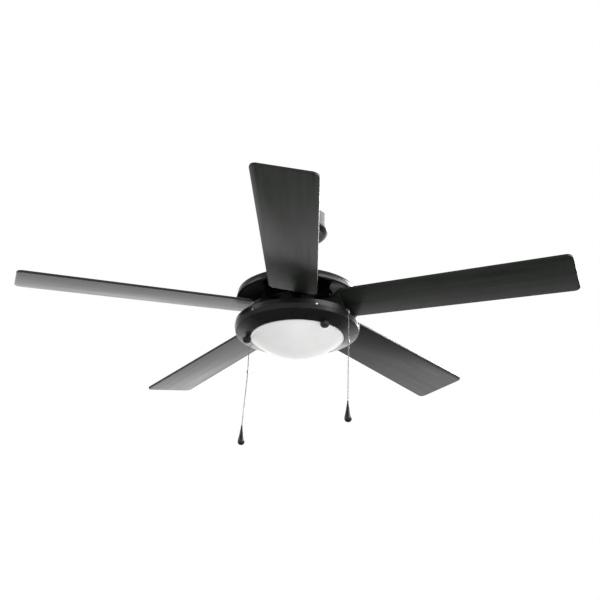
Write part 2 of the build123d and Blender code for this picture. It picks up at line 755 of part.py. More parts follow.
neck_top = lip_low - clear
head_top = glass_low - 0.5
for number, azimuth in enumerate(knob_azimuths, start=1):
    with BuildPart() as knob:
        with Locations(flat_plane(azimuth, knob_circle, head_top).location):
            Cylinder(knob_radius, knob_height, align=(Align.CENTER, Align.CENTER, Align.MAX))
        fillet(knob.edges().filter_by(GeomType.CIRCLE).sort_by(Axis.Z)[0], 6.5)
        fillet(knob.edges().filter_by(GeomType.CIRCLE).sort_by(Axis.Z)[-1], 1.0)
        with Locations(flat_plane(azimuth, knob_circle, head_top - 1).location):
            Cylinder(knob_neck, neck_top - head_top + 1, align=(Align.CENTER, Align.CENTER, Align.MIN))
        with Locations(flat_plane(azimuth, knob_circle, neck_top).location):
            depth = knob_height - 0.5
            Cylinder(
                stud_radius + running,
                depth,
                align=(Align.CENTER, Align.CENTER, Align.MAX),
                mode=Mode.SUBTRACT,
            )
    save(knob.part, f"glass_knob_{number}")

# ---------------------------------------------------------------- lamps
reflector_low = blade_z - reflector_drop - reflector_sheet
with BuildPart() as reflector:
    add_ring(reflector_radius, 6, reflector_low, reflector_low + reflector_sheet)
    add_ring(reflector_radius, reflector_radius - reflector_sheet, reflector_low, plate_low)
    add_ring(reflector_flange, reflector_radius - reflector_sheet, flange_low, plate_low)
    for azimuth in reflector_screw_azimuths:
        spot = flat_plane(azimuth, (reflector_radius + reflector_flange) / 2, flange_low)
        cut_hole(spot, plate_screw_radius + slip, 10)
save(reflector.part, "reflector")


def lamp_plane(sign, along):
    """Plane across one lamp, facing its tip."""
    origin = (sign * along, sign * lamp_offset, blade_z - lamp_drop)
    return Plane(origin=origin, x_dir=(0, sign, 0), z_dir=(sign, 0, 0))


with BuildPart() as lamp_holders:
    for sign in (-1, 1):
        with Locations(lamp_plane(sign, -holder_back).location):
            Cylinder(holder_radius, holder_length, align=(Align.CENTER, Align.CENTER, Align.MIN))
        post = Plane(origin=(-sign * (holder_back - 16), sign * lamp_offset, blade_z - lamp_drop + 8))
        add_box(post, 20, 12, reflector_low - (blade_z - lamp_drop + 8))
        with Locations(lamp_plane(sign, -holder_back + 5).location):
            Cylinder(
                cap_radius + clear,
                holder_length,
                align=(Align.CENTER, Align.CENTER, Align.MIN),
                mode=Mode.SUBTRACT,
            )
save(lamp_holders.part, "lamp_holders")

cap_start = -holder_back + 5.2
with BuildPart() as bulb_caps:
    for sign in (-1, 1):
        with Locations(lamp_plane(sign, cap_start).location):
            Cylinder(cap_radius, cap_length, align=(Align.CENTER, Align.CENTER, Align.MIN))
save(bulb_caps.part, "bulb_caps")

bulb_start = cap_start + cap_length
neck_radius = cap_radius - 0.3
with BuildPart() as bulbs:
    for sign in (-1, 1):
        axis_plane = Plane(
            origin=(0, sign * lamp_offset, blade_z - lamp_drop), x_dir=(sign, 0, 0), z_dir=(0, -sign, 0)
        )
        with BuildSketch(axis_plane) as outline:
            with BuildLine():
                neck = Line((bulb_start, 0), (bulb_start, neck_radius))
                tip = CenterArc((globe_centre, 0), globe_radius, 90, -90)
                FilletPolyline(
                    neck @ 1,
                    (bulb_start + 9, neck_radius),
                    (globe_centre - 14, globe_radius),
                    tip @ 0,
                    radius=18,
                )
                Line(tip @ 1, neck @ 0)
            make_face()
        revolve(outline.sketch, axis=Axis((0, sign * lamp_offset, blade_z - lamp_drop), (sign, 0, 0)))
save(bulbs.part, "bulbs")

# ---------------------------------------------------------------- switches
with BuildPart() as speed_switch:
    seat = radial_plane(speed_azimuth, switch_outer - switch_depth, plate_low - speed_switch_height / 2)
    add_box(seat, speed_switch_width, speed_switch_height, switch_depth)
    fillet(speed_switch.edges().filter_by(Axis.Z), 2)
save(speed_switch.part, "speed_switch")

with BuildPart() as light_switch:
    seat = radial_plane(light_azimuth, switch_outer - switch_depth, plate_low - light_switch_height / 2)
    add_box(seat, switch_width, light_switch_height, switch_depth)
    fillet(light_switch.edges().filter_by(Axis.Z), 2)
save(light_switch.part, "light_switch")

outlet_z = blade_z - outlet_drop
mouth_z = blade_z - mouth_drop
with BuildPart() as chain_outlets:
    for azimuth in outlet_azimuths:
        with BuildLine(meridian_plane(azimuth)) as elbow:
            FilletPolyline(
                (switch_outer, outlet_z), (chain_stand, outlet_z), (chain_stand, mouth_z), radius=outlet_bend
            )
        with BuildSketch(radial_plane(azimuth, switch_outer, outlet_z)) as section:
            Circle(outlet_radius)
            Circle(outlet_bore, mode=Mode.SUBTRACT)
        sweep(section.sketch, path=elbow.line)
        with BuildSketch(flat_plane(azimuth, chain_stand, mouth_z)) as rim:
            Circle(outlet_radius + 0.7)
            Circle(outlet_bore, mode=Mode.SUBTRACT)
        extrude(rim.sketch, amount=1.2)
        with BuildSketch(radial_plane(azimuth, pan_radius + pan_bulge - 0.1, outlet_z)) as nut:
            RegularPolygon(radius=5.2, side_count=6)
            Circle(outlet_bore + 0.5, mode=Mode.SUBTRACT)
        extrude(nut.sketch, amount=1.8)
save(chain_outlets.part, "chain_outlets")

reverse_z = blade_z - wall_screw_drop
reverse_inner = switch_outer - 10.0
reverse_outer = plate_radius_out - sheet - 1.6
with BuildPart() as reverse_switch:
    seat = radial_plane(reverse_azimuth, reverse_inner, reverse_z)
    with Locations(seat.location * Location((reverse_travel / 2, 0, 0))):
        Box(
            reverse_body_width,
            reverse_body_height,
            reverse_outer - reverse_inner,
            align=(Align.CENTER, Align.CENTER, Align.MIN),
        )
    post = flat_plane(reverse_azimuth, reverse_inner + 6, reverse_z + 6)
    add_box(post, 8, 14, plate_low - reverse_z - 6)
save(reverse_switch.part, "reverse_switch")

button_start = reverse_outer + clear
with BuildPart() as reverse_button:
    with Locations(radial_plane(reverse_azimuth, button_start, reverse_z).location):
        Box(
            button_width,
            button_height,
            pan_radius + button_stand - button_start,
            align=(Align.CENTER, Align.CENTER, Align.MIN),
        )
    fillet(reverse_button.edges().filter_by(Axis.Z), 0.8)
save(reverse_button.part, "reverse_button")

with BuildPart() as run_capacitor:
    seat = Plane(origin=(-48, 18, plate_low - capacitor_height))
    add_box(seat, capacitor_length, capacitor_width, capacitor_height)
    fillet(run_capacitor.edges().filter_by(Axis.Z), 3)
save(run_capacitor.part, "run_capacitor")

wire_circle = shaft_bore - wire_radius - clear
wire_side = pin_radius + wire_radius + 1.6
wire_spots = [((0, wire_circle), (0, wire_side))]
for side in (-1, 1):
    near = (side * wire_circle * math.cos(math.radians(30)), -wire_circle / 2)
    wire_spots.append((near, (side * 0.6 * wire_side, -wire_side)))

with BuildPart() as lead_wires:
    for (near_x, near_y), (far_x, far_y) in wire_spots:
        with BuildLine() as wire_path:
            FilletPolyline(
                (near_x, near_y, shaft_low + 2),
                (near_x, near_y, rod_bottom + 0.6),
                (far_x, far_y, rod_bottom + 6.5),
                (far_x, far_y, -3),
                radius=3,
            )
        with BuildSketch(Plane(origin=(near_x, near_y, shaft_low + 2))) as wire_section:
            Circle(wire_radius)
        sweep(wire_section.sketch, path=wire_path.line)
save(lead_wires.part, "lead_wires")


# ---------------------------------------------------------------- pull chains
def arc_radii(points):
    """Radius of the arc at each inner point: 0.45 of its shorter run over the tangent of half the turn."""
    radii = []
    for before, here, after in zip(points, points[1:], points[2:]):
        turn = math.radians((Vector(*here) - Vector(*before)).get_angle(Vector(*after) - Vector(*here)))
        shorter = min((Vector(*here) - Vector(*before)).length, (Vector(*after) - Vector(*here)).length)
        radii.append(0.45 * shorter / math.tan(turn / 2))
    return radii


# Each route goes down from its start, in the part's own X, Y, Z.
light_switch_route = [
    (117.97, -98.99, -291.5),
    (117.70, -98.80, -326.0),
    (117.30, -99.00, -360.9),
]
light_pull_route = [
    (117.25, -99.00, -372.4),
    (116.10, -99.20, -419.0),
    (114.90, -98.90, -465.0),
    (113.90, -99.00, -510.0),
]
speed_switch_route = [
    (-117.97, 98.99, -291.5),
    (-118.40, 98.80, -326.0),
    (-119.60, 99.00, -360.8),
]
speed_pull_route = [
    (-120.05, 99.00, -372.4),
    (-123.20, 98.80, -415.0),
    (-127.00, 99.20, -460.0),
    (-130.20, 99.00, -503.0),
]


def chain_tube(points):
    """Plain tube along one stretch of chain."""
    radii = arc_radii(points)
    print("chain radii", [round(radius) for radius in radii])
    with BuildPart() as run:
        with BuildLine():
            path = FilletPolyline(*points, radius=radii)
        with BuildSketch(Plane(origin=path @ 0, z_dir=path % 0)):
            Circle(chain_radius)
        sweep(path=path)
    length = path.length
    print("chain length", round(length, 1), "volume ratio",
          round(run.part.volume / (math.pi * chain_radius**2 * length), 4))
    return run.part


def pendant(top, tip):
    """Turned drop on the end of a chain, hanging from its top point."""
    along = (tip - top).normalized()
    profile_plane = Plane(origin=top, x_dir=along.cross(Vector(0, 1, 0)), z_dir=Vector(0, -1, 0))
    with BuildPart() as body:
        with BuildSketch(profile_plane) as outline:
            with BuildLine():
                cap = Line((0, 0), (pendant_neck, 0))
                flank = Spline(
                    cap @ 1,
                    (0.62 * pendant_radius, -0.45 * pendant_length),
                    (pendant_radius, -0.79 * pendant_length),
                    tangents=((0.3, -1), (0, -1)),
                )
                belly = Spline(
                    flank @ 1,
                    (0.72 * pendant_radius, -0.95 * pendant_length),
                    (0, -pendant_length),
                    tangents=((0, -1), (-1, 0)),
                )
                Line(belly @ 1, cap @ 0)
            make_face()
        revolve(outline.sketch, axis=Axis(top, profile_plane.y_dir))
    return body.part


def connector(azimuth_point, low):
    """Bell that joins the switch's chain to the pull chain, open underneath."""
    x, y = azimuth_point
    with BuildPart() as bell_end:
        with Locations((x, y, low)):
            Cylinder(connector_radius, connector_length, align=(Align.CENTER, Align.CENTER, Align.MIN))
        fillet(bell_end.edges().filter_by(GeomType.CIRCLE).sort_by(Axis.Z)[-1], 1.2)
        with Locations((x, y, low)):
            Cylinder(
                bead_bore,
                bead_rise + chain_radius + 0.5,
                align=(Align.CENTER, Align.CENTER, Align.MIN),
                mode=Mode.SUBTRACT,
            )
    return bell_end.part


def pull_chain(route, low):
    """Pull chain's tube, with its top bead in the connector's bell and the link between them."""
    run = chain_tube(route)
    start = Vector(*route[0])
    with BuildPart() as chain:
        add(run)
        with Locations((start.X, start.Y, low + bead_rise)):
            Sphere(chain_radius)
            Cylinder(0.6, neck_length + 0.1, align=(Align.CENTER, Align.CENTER, Align.MAX))
    return chain.part


connector_low = blade_z - connector_drop - connector_length
pulls = {
    "light": (light_switch_route, light_pull_route),
    "speed": (speed_switch_route, speed_pull_route),
}
for name, (switch_route, pull_route) in pulls.items():
    joint_point = pull_route[0][:2]
    save(chain_tube(switch_route), f"{name}_switch_chain")
    save(connector(joint_point, connector_low), f"{name}_connector")
    save(pull_chain(pull_route, connector_low), f"{name}_pull_chain")
    lean = Vector(*pull_route[-1]) - Vector(*pull_route[-2])
    top = Vector(*pull_route[-1]) - Vector(0, 0, 0.15)
    save(pendant(top, top + Vector(lean.X * 0.3, 0, lean.Z)), f"{name}_pendant")
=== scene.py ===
import json
import math

import bmesh
import bpy
from mathutils import Matrix, Vector


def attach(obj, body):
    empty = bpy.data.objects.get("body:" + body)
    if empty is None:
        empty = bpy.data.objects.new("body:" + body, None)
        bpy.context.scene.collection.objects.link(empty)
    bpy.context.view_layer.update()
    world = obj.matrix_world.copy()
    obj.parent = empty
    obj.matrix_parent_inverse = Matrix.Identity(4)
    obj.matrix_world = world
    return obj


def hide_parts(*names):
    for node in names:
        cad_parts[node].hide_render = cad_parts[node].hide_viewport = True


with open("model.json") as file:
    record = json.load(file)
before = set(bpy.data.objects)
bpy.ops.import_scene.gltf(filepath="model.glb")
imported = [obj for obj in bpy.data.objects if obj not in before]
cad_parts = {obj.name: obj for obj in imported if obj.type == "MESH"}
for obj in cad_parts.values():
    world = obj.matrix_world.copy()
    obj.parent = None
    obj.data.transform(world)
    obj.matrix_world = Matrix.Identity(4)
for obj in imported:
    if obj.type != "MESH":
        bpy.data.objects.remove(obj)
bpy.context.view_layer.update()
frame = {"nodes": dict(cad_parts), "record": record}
scene = bpy.context.scene
scene.view_settings.view_transform = "Standard"

# Metres, in the frame of the CAD: the origin is on the spin axis in the ceiling plane, +Z up.
BLADE_Z = -0.247
BLADE_AZIMUTHS = [-91.7 + 72.0 * index for index in range(5)]

# ---------------------------------------------------------------- camera
CAMERA_PLACE = Vector((0.0, -2.4308, -1.3295))
CAMERA_PAN = math.radians(0.15)
CAMERA_TILT = math.radians(24.56)
CAMERA_ROLL = math.radians(0.33)
CAMERA_LENS = 66.49
CAMERA_SENSOR = 36.0

ahead = Vector(
    (
        math.sin(CAMERA_PAN) * math.cos(CAMERA_TILT),
        math.cos(CAMERA_PAN) * math.cos(CAMERA_TILT),
        math.sin(CAMERA_TILT),
    )
)
level_right = Vector((math.cos(CAMERA_PAN), -math.sin(CAMERA_PAN), 0.0))
level_up = level_right.cross(ahead)
right = level_right * math.cos(CAMERA_ROLL) + level_up * math.sin(CAMERA_ROLL)
up = level_up * math.cos(CAMERA_ROLL) - level_right * math.sin(CAMERA_ROLL)
camera = bpy.data.objects.new("camera", bpy.data.cameras.new("camera"))
scene.collection.objects.link(camera)
camera.data.sensor_width = CAMERA_SENSOR
camera.data.lens = CAMERA_LENS
camera.data.clip_start = 0.05
camera.data.clip_end = 60.0
turn = Matrix((right, up, -ahead)).transposed().to_4x4()
camera.matrix_world = Matrix.Translation(CAMERA_PLACE) @ turn
scene.camera = camera


# ---------------------------------------------------------------- materials
# Most of a noise's values fall in this span.
NOISE_LOW, NOISE_HIGH = 0.3, 0.7


def new_material(name):
    material = bpy.data.materials.new(name)
    material.use_nodes = True
    shader = material.node_tree.nodes["Principled BSDF"]
    return material, material.node_tree, shader


def object_place(tree, turn_z=0.0, stretch=(1.0, 1.0, 1.0)):
    """Object coordinates, turned about Z and then stretched."""
    place = tree.nodes.new("ShaderNodeTexCoord")
    turned = tree.nodes.new("ShaderNodeMapping")
    turned.vector_type = "POINT"
    turned.inputs["Rotation"].default_value = (0.0, 0.0, turn_z)
    tree.links.new(place.outputs["Object"], turned.inputs["Vector"])
    scaled = tree.nodes.new("ShaderNodeMapping")
    scaled.inputs["Scale"].default_value = stretch
    tree.links.new(turned.outputs["Vector"], scaled.inputs["Vector"])
    return scaled.outputs["Vector"]


def noise(tree, vector, scale, detail=4.0, rough=0.55):
    node = tree.nodes.new("ShaderNodeTexNoise")
    node.inputs["Scale"].default_value = scale
    node.inputs["Detail"].default_value = detail
    node.inputs["Roughness"].default_value = rough
    tree.links.new(vector, node.inputs["Vector"])
    return node.outputs["Fac"]


def ramp(tree, value, low, high, start=NOISE_LOW, end=NOISE_HIGH):
    """Colour between low and high as the value goes from start to end."""
    node = tree.nodes.new("ShaderNodeValToRGB")
    node.color_ramp.elements[0].position = start
    node.color_ramp.elements[1].position = end
    node.color_ramp.elements[0].color = (*low, 1.0)
    node.color_ramp.elements[1].color = (*high, 1.0)
    tree.links.new(value, node.inputs["Fac"])
    return node.outputs["Color"]


def spread(tree, value, low, high):
    """Number between low and high as noise goes from its usual low to its usual high."""
    node = tree.nodes.new("ShaderNodeMapRange")
    node.inputs["From Min"].default_value = NOISE_LOW
    node.inputs["From Max"].default_value = NOISE_HIGH
    node.inputs["To Min"].default_value = low
    node.inputs["To Max"].default_value = high
    tree.links.new(value, node.inputs["Value"])
    return node.outputs["Result"]


def bump(tree, shader, height, distance, strength=1.0, under=None):
    node = tree.nodes.new("ShaderNodeBump")
    node.inputs["Distance"].default_value = distance
    node.inputs["Strength"].default_value = strength
    tree.links.new(height, node.inputs["Height"])
    if under is not None:
        tree.links.new(under, node.inputs["Normal"])
    tree.links.new(node.outputs["Normal"], shader.inputs["Normal"])
    return node.outputs["Normal"]


def shade(colour, factor):
    return tuple(min(1.0, channel * factor) for channel in colour)


def finish_of(
    name,
    colour,
    rough,
    metallic=0.0,
    vary=0.2,
    rough_vary=0.06,
    patch=35.0,
    grain=900.0,
    depth=0.00003,
    specular=0.5,
    coat=0.0,
    stretch=(1.0, 1.0, 1.0),
    turn_z=0.0,
):
    """Painted, moulded or plated finish: soft patches of tone and gloss over a fine grain."""
    material, tree, shader = new_material(name)
    vector = object_place(tree, turn_z, stretch)
    broad = noise(tree, vector, patch)
    fine = noise(tree, vector, grain, 3.0)
    tone = ramp(tree, broad, shade(colour, 1 - vary), shade(colour, 1 + vary))
    tree.links.new(tone, shader.inputs["Base Color"])
    gloss = spread(tree, broad, rough - rough_vary, rough + rough_vary)
    tree.links.new(gloss, shader.inputs["Roughness"])
    shader.inputs["Metallic"].default_value = metallic
    shader.inputs["Specular IOR Level"].default_value = specular
    shader.inputs["Coat Weight"].default_value = coat
    bump(tree, shader, fine, depth)
    return material


def laminate(name, azimuth):
    """Black wood-look laminate: pores and streaks that run along the blade."""
    material, tree, shader = new_material(name)
    along = object_place(tree, -azimuth, (3.0, 110.0, 40.0))
    pores = object_place(tree, -azimuth, (22.0, 900.0, 300.0))
    streak = noise(tree, along, 1.0, 6.0, 0.6)
    pore = noise(tree, pores, 1.0, 2.0, 0.5)
    cloud = noise(tree, object_place(tree), 9.0, 2.0)
    streak_tone = ramp(tree, streak, (0.0105, 0.0125, 0.0110), (0.022, 0.0250, 0.0225), 0.25, 0.75)
    cloud_tone = ramp(tree, cloud, (0.82, 0.84, 0.80), (1.12, 1.14, 1.08))
    mix = tree.nodes.new("ShaderNodeMix")
    mix.data_type = "RGBA"
    mix.blend_type = "MULTIPLY"
    mix.inputs["Factor"].default_value = 1.0
    tree.links.new(streak_tone, mix.inputs["A"])
    tree.links.new(cloud_tone, mix.inputs["B"])
    tree.links.new(mix.outputs["Result"], shader.inputs["Base Color"])
    tree.links.new(spread(tree, streak, 0.27, 0.37), shader.inputs["Roughness"])
    shader.inputs["Specular IOR Level"].default_value = 0.5
    under = bump(tree, shader, streak, 0.00004)
    bump(tree, shader, pore, 0.00005, 0.8, under)
    return material


def frosted(name):
    """Etched white glass: milky body, faintly uneven, with a soft satin face."""
    material, tree, shader = new_material(name)
    vector = object_place(tree)
    cloud = noise(tree, vector, 14.0, 3.0)
    etch = noise(tree, vector, 1400.0, 2.0)
    tone = ramp(tree, cloud, (0.86, 0.865, 0.855), (0.93, 0.93, 0.92))
    tree.links.new(tone, shader.inputs["Base Color"])
    tree.links.new(spread(tree, cloud, 0.30, 0.38), shader.inputs["Roughness"])
    shader.inputs["Subsurface Weight"].default_value = 0.35
    shader.inputs["Subsurface Radius"].default_value = (0.012, 0.012, 0.011)
    shader.inputs["Subsurface Scale"].default_value = 1.0
    bump(tree, shader, etch, 0.00001, 0.6)
    return material


BLACK = (0.0085, 0.0086, 0.0084)
materials = {
    "black_steel": finish_of(
        "satin_black_enamel", BLACK, 0.31, vary=0.18, grain=1100.0, depth=0.00003, specular=0.42
    ),
    "zinc_steel": finish_of("zinc_plate", (0.56, 0.57, 0.58), 0.38, 0.9, vary=0.12, patch=90.0),
    "dark_screw": finish_of(
        "blackened_screw", (0.045, 0.045, 0.048), 0.32, 0.75, vary=0.25, patch=300.0
    ),
    "cast_aluminium": finish_of(
        "cast_aluminium", (0.48, 0.48, 0.47), 0.52, 0.85, depth=0.00012, grain=500.0
    ),
    "lamination_steel": finish_of(
        "core_laminations",
        (0.20, 0.20, 0.21),
        0.42,
        0.8,
        stretch=(1.0, 1.0, 30.0),
        depth=0.0001,
        grain=60.0,
    ),
    "copper_winding": finish_of(
        "enamelled_copper",
        (0.55, 0.20, 0.07),
        0.30,
        0.6,
        stretch=(1.0, 1.0, 8.0),
        depth=0.0002,
        grain=300.0,
    ),
    "bearing_steel": finish_of("bearing_steel", (0.62, 0.62, 0.63), 0.18, 1.0, vary=0.08),
    "black_plastic": finish_of(
        "black_nylon", (0.018, 0.018, 0.019), 0.45, vary=0.15, depth=0.00005
    ),
    "white_enamel": finish_of("white_enamel", (0.86, 0.86, 0.84), 0.30, vary=0.05, coat=0.2),
    "porcelain": finish_of("porcelain", (0.83, 0.81, 0.77), 0.22, vary=0.05, coat=0.3),
    "bulb_glass": finish_of("opal_bulb", (0.90, 0.89, 0.86), 0.16, vary=0.04),
    "brass_plate": finish_of("brass_plate", (0.66, 0.46, 0.18), 0.26, 1.0, vary=0.14, patch=200.0),
    "rubber": finish_of("gasket_rubber", (0.03, 0.03, 0.03), 0.72, vary=0.2, depth=0.00008),
    "chain_steel": finish_of("nickel_chain", (0.46, 0.46, 0.45), 0.28, 1.0, vary=0.10, patch=400.0),
    "pendant_lacquer": finish_of(
        "black_lacquer",
        (0.014, 0.013, 0.013),
        0.20,
        vary=0.3,
        coat=0.5,
        stretch=(1.0, 1.0, 0.12),
        patch=420.0,
    ),
    "wire_sheath": finish_of("wire_sheath", (0.03, 0.03, 0.035), 0.5, vary=0.2),
    "bowl_glass": frosted("frosted_glass"),
}
# Painted shade: the hub parts and blade irons get a near-black, dull finish, darker than their own,
# so they stand in for the shadowed interior under the housing and blade roots.
hub_painted_shade = finish_of(
    "hub_black_painted_shade",
    (0.0035, 0.0035, 0.0036),
    0.62,
    vary=0.3,
    patch=60.0,
    grain=600.0,
    depth=0.00008,
    specular=0.14,
)
materials["chain_outlets"] = finish_of(
    "smoked_nickel", (0.30, 0.30, 0.31), 0.24, 0.9, vary=0.2, patch=300.0
)
# Hub parts and blade irons that take the painted-shade black.
hub_nodes_in_painted_shade = [
    "rotor_lower_bell",
    "rotor_upper_bell",
    "motor_coupling",
    "motor_shaft",
    "light_kit_adapter",
]
for node in hub_nodes_in_painted_shade:
    materials[node] = hub_painted_shade
for number in range(1, 6):
    materials[f"blade_iron_{number}"] = hub_painted_shade
# The blade boards' edge band is black like the faces; its lighter grey here is a painted highlight
# along the edges.
edge_band_painted_highlight = finish_of(
    "edge_band_painted_highlight", (0.085, 0.085, 0.082), 0.38, vary=0.2, patch=25.0, grain=700.0, depth=0.00006
)
for number, azimuth in enumerate(BLADE_AZIMUTHS, start=1):
    materials[f"blade_{number}"] = laminate(f"black_laminate_{number}", math.radians(azimuth))

slot_of = {row["node"]: row["material_slot"] for row in frame["record"]["subparts"]}
for node, shown in frame["nodes"].items():
    chosen = materials.get(node, materials.get(slot_of[node]))
    shown.data.materials.clear()
    shown.data.materials.append(chosen)


# ---------------------------------------------------------------- mesh helpers
def made(name, body, nodes, mesh, chosen, angle=35.0):
    """Finished piece, smooth but for its creases, on its body and for the nodes it stands for."""
    mesh.name = name
    piece = bpy.data.objects.new(name, mesh)
    scene.collection.objects.link(piece)
    mesh.materials.clear()
    for each in chosen:
        mesh.materials.append(each)
    for face in mesh.polygons:
        face.use_smooth = True
    mesh.set_sharp_from_angle(angle=math.radians(angle))
    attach(piece, body)
    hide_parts(*nodes)
    return piece


def mesh_of(build):
    """Mesh from the bmesh that build fills."""
    shape = bmesh.new()
    build(shape)
    bmesh.ops.recalc_face_normals(shape, faces=shape.faces)
    mesh = bpy.data.meshes.new("mesh")
    shape.to_mesh(mesh)
    shape.free()
    return mesh


def lathe(shape, profile, place, steps=64, flute=None, material=0):
    """Revolves (radius, height) points about the Z axis of place.

    flute is (count, depth, low, high).
    """
    rings = []
    for radius, height in profile:
        if radius < 1e-6:
            rings.append([shape.verts.new(place @ Vector((0.0, 0.0, height)))])
            continue
        ring = []
        for step in range(steps):
            angle = 2 * math.pi * step / steps
            reach = radius
            if flute and flute[2] <= height <= flute[3]:
                reach -= flute[1] * (0.5 - 0.5 * math.cos(flute[0] * angle))
            spot = Vector((reach * math.cos(angle), reach * math.sin(angle), height))
            ring.append(shape.verts.new(place @ spot))
        rings.append(ring)
    for below, above in zip(rings, rings[1:]):
        for step in range(steps):
            after = (step + 1) % steps
            corners = [below[step % len(below)], below[after % len(below)]]
            corners += [above[after % len(above)], above[step % len(above)]]
            unique = list(dict.fromkeys(corners))
            if len(unique) > 2:
                shape.faces.new(unique).material_index = material
    for ring, flip in ((rings[0], True), (rings[-1], False)):
        if len(ring) > 2:
            shape.faces.new(ring[::-1] if flip else ring).material_index = material


def arc(centre, radius, start, end, steps):
    """Points (radius, height) on a round corner, from one angle to another in degrees."""
    points = []
    for step in range(steps + 1):
        angle = math.radians(start + (end - start) * step / steps)
        points.append((centre[0] + radius * math.cos(angle), centre[1] + radius * math.sin(angle)))
    return points


def aimed(origin, axis, side=None):
    """Place whose Z is the axis."""
    z = Vector(axis).normalized()
    x = Vector(side) if side is not None else z.orthogonal()
    x = (x - z * x.dot(z)).normalized()
    y = z.cross(x)
    return Matrix.Translation(origin) @ Matrix((x, y, z)).transposed().to_4x4()


def polar(azimuth, radius, height):
    angle = math.radians(azimuth)
    return Vector((radius * math.cos(angle), radius * math.sin(angle), height))


def screw(shape, place, head, rise, shank, reach, turned=0.0):
    """Pan-head screw with a cross recess.

    The head stands on the place's plane, and the shank goes behind it.
    """
    cells = 22
    arm = 0.17
    recess = 0.62
    place = place @ Matrix.Rotation(math.radians(turned), 4, "Z")
    grid = []
    for row in range(cells + 1):
        line = []
        v = 2 * row / cells - 1
        for column in range(cells + 1):
            u = 2 * column / cells - 1
            x = u * math.sqrt(1 - v * v / 2)
            y = v * math.sqrt(1 - u * u / 2)
            out = min(1.0, math.hypot(x, y))
            height = rise * (0.42 + 0.58 * math.sqrt(max(0.0, 1 - out**2.6)))
            inside = (abs(u) < arm and abs(v) < recess) or (abs(v) < arm and abs(u) < recess)
            if inside:
                height -= rise * 0.55
            spot = Vector((x * head, y * head, height))
            line.append(shape.verts.new(place @ spot))
        grid.append(line)
    for row in range(cells):
        for column in range(cells):
            corners = (
                grid[row][column],
                grid[row][column + 1],
                grid[row + 1][column + 1],
                grid[row + 1][column],
            )
            shape.faces.new(corners)
    rim = [grid[0][c] for c in range(cells)] + [grid[r][cells] for r in range(cells)]
    rim += [grid[cells][c] for c in range(cells, 0, -1)] + [grid[r][0] for r in range(cells, 0, -1)]
    inverse = place.inverted()
    foot = []
    for vertex in rim:
        flat = inverse @ vertex.co
        foot.append(shape.verts.new(place @ Vector((flat.x, flat.y, 0.0))))
    count = len(rim)
    for step in range(count):
        after = (step + 1) % count
        shape.faces.new((rim[step], foot[step], foot[after], rim[after]))
    shape.faces.new(foot)
    lathe(shape, [(shank, -reach), (shank, 0.0)], place, 20)


# ---------------------------------------------------------------- cords: the four bead chains
BEAD_RADIUS = 0.0016
BEAD_PITCH = 0.0043
BEAD_NECK = 0.00045
LINK_RADIUS = 0.0004
CONNECTOR_MOUTH = -0.370
HELD_ABOVE_MOUTH = 0.0006
PENDANT_LENGTH = 0.049
routes = {
    "light_switch": [
        (0.11797, -0.09899, -0.2915),
        (0.11770, -0.09880, -0.3260),
        (0.11730, -0.09900, -0.3609),
    ],
    "light_pull": [
        (0.11725, -0.09900, -0.3724),
        (0.11610, -0.09920, -0.4190),
        (0.11490, -0.09890, -0.4650),
        (0.11390, -0.09900, -0.5100),
    ],
    "speed_switch": [
        (-0.11797, 0.09899, -0.2915),
        (-0.11840, 0.09880, -0.3260),
        (-0.11960, 0.09900, -0.3608),
    ],
    "speed_pull": [
        (-0.12005, 0.09900, -0.3724),
        (-0.12320, 0.09880, -0.4150),
        (-0.12700, 0.09920, -0.4600),
        (-0.13020, 0.09900, -0.5030),
    ],
}


def smooth_line(name, points):
    """Points along the NURBS spline whose control points are given."""
    curve = bpy.data.curves.new(name, "CURVE")
    curve.dimensions = "3D"
    curve.resolution_u = 24
    spline = curve.splines.new("NURBS")
    spline.points.add(len(points) - 1)
    for point, place in zip(spline.points, points):
        point.co = (*place, 1.0)
    spline.order_u = 3
    spline.use_endpoint_u = True
    carrier = bpy.data.objects.new(name, curve)
    scene.collection.objects.link(carrier)
    bpy.context.view_layer.update()
    evaluated = carrier.evaluated_get(bpy.context.evaluated_depsgraph_get())
    mesh = bpy.data.meshes.new_from_object(evaluated)
    line = [vertex.co.copy() for vertex in mesh.vertices]
    bpy.data.meshes.remove(mesh)
    bpy.data.objects.remove(carrier)
    bpy.data.curves.remove(curve)
    return line


def along_line(line, distance):
    """Point and direction at a distance along the line."""
    for here, after in zip(line, line[1:]):
        step = (after - here).length
        if distance <= step:
            return here.lerp(after, distance / step), (after - here).normalized()
        distance -= step
    return line[-1].copy(), (line[-1] - line[-2]).normalized()


def bead(shape, spot, direction):
    girth = arc((0.0, 0.0), BEAD_RADIUS, -82.0, 82.0, 8)
    profile = [(BEAD_NECK, -BEAD_RADIUS)] + girth + [(BEAD_NECK, BEAD_RADIUS)]
    lathe(shape, profile, aimed(spot, direction), 14)


def link(shape, start, end):
    profile = [(LINK_RADIUS, 0.0), (LINK_RADIUS, (end - start).length)]
    lathe(shape, profile, aimed(start, end - start), 8)


def bead_chain(name, key, body, node):
    line = smooth_line(name + "_line", routes[key])
    length = sum((b - a).length for a, b in zip(line, line[1:]))
    count = round((length - 2 * BEAD_RADIUS) / BEAD_PITCH)
    pitch = (length - 2 * BEAD_RADIUS) / count

    def build(shape):
        places = []
        for index in range(count + 1):
            places.append(along_line(line, BEAD_RADIUS + index * pitch))
        for spot, direction in places:
            bead(shape, spot, direction)
        for (spot, _), (after, _) in zip(places, places[1:]):
            link(shape, spot, after)

    mesh = mesh_of(build)
    piece = made(name, body, [node], mesh, [materials["chain_steel"]], 60.0)
    return piece, line, length


def top_bead(name, body, node, start):
    """Bead that the connector's bell holds, with its link to the pull chain."""
    held = Vector((start[0], start[1], CONNECTOR_MOUTH + HELD_ABOVE_MOUTH))

    def build(shape):
        bead(shape, held, Vector((0.0, 0.0, -1.0)))
        link(shape, held, Vector(start))

    return made(name, body, [node], mesh_of(build), [materials["chain_steel"]], 60.0)


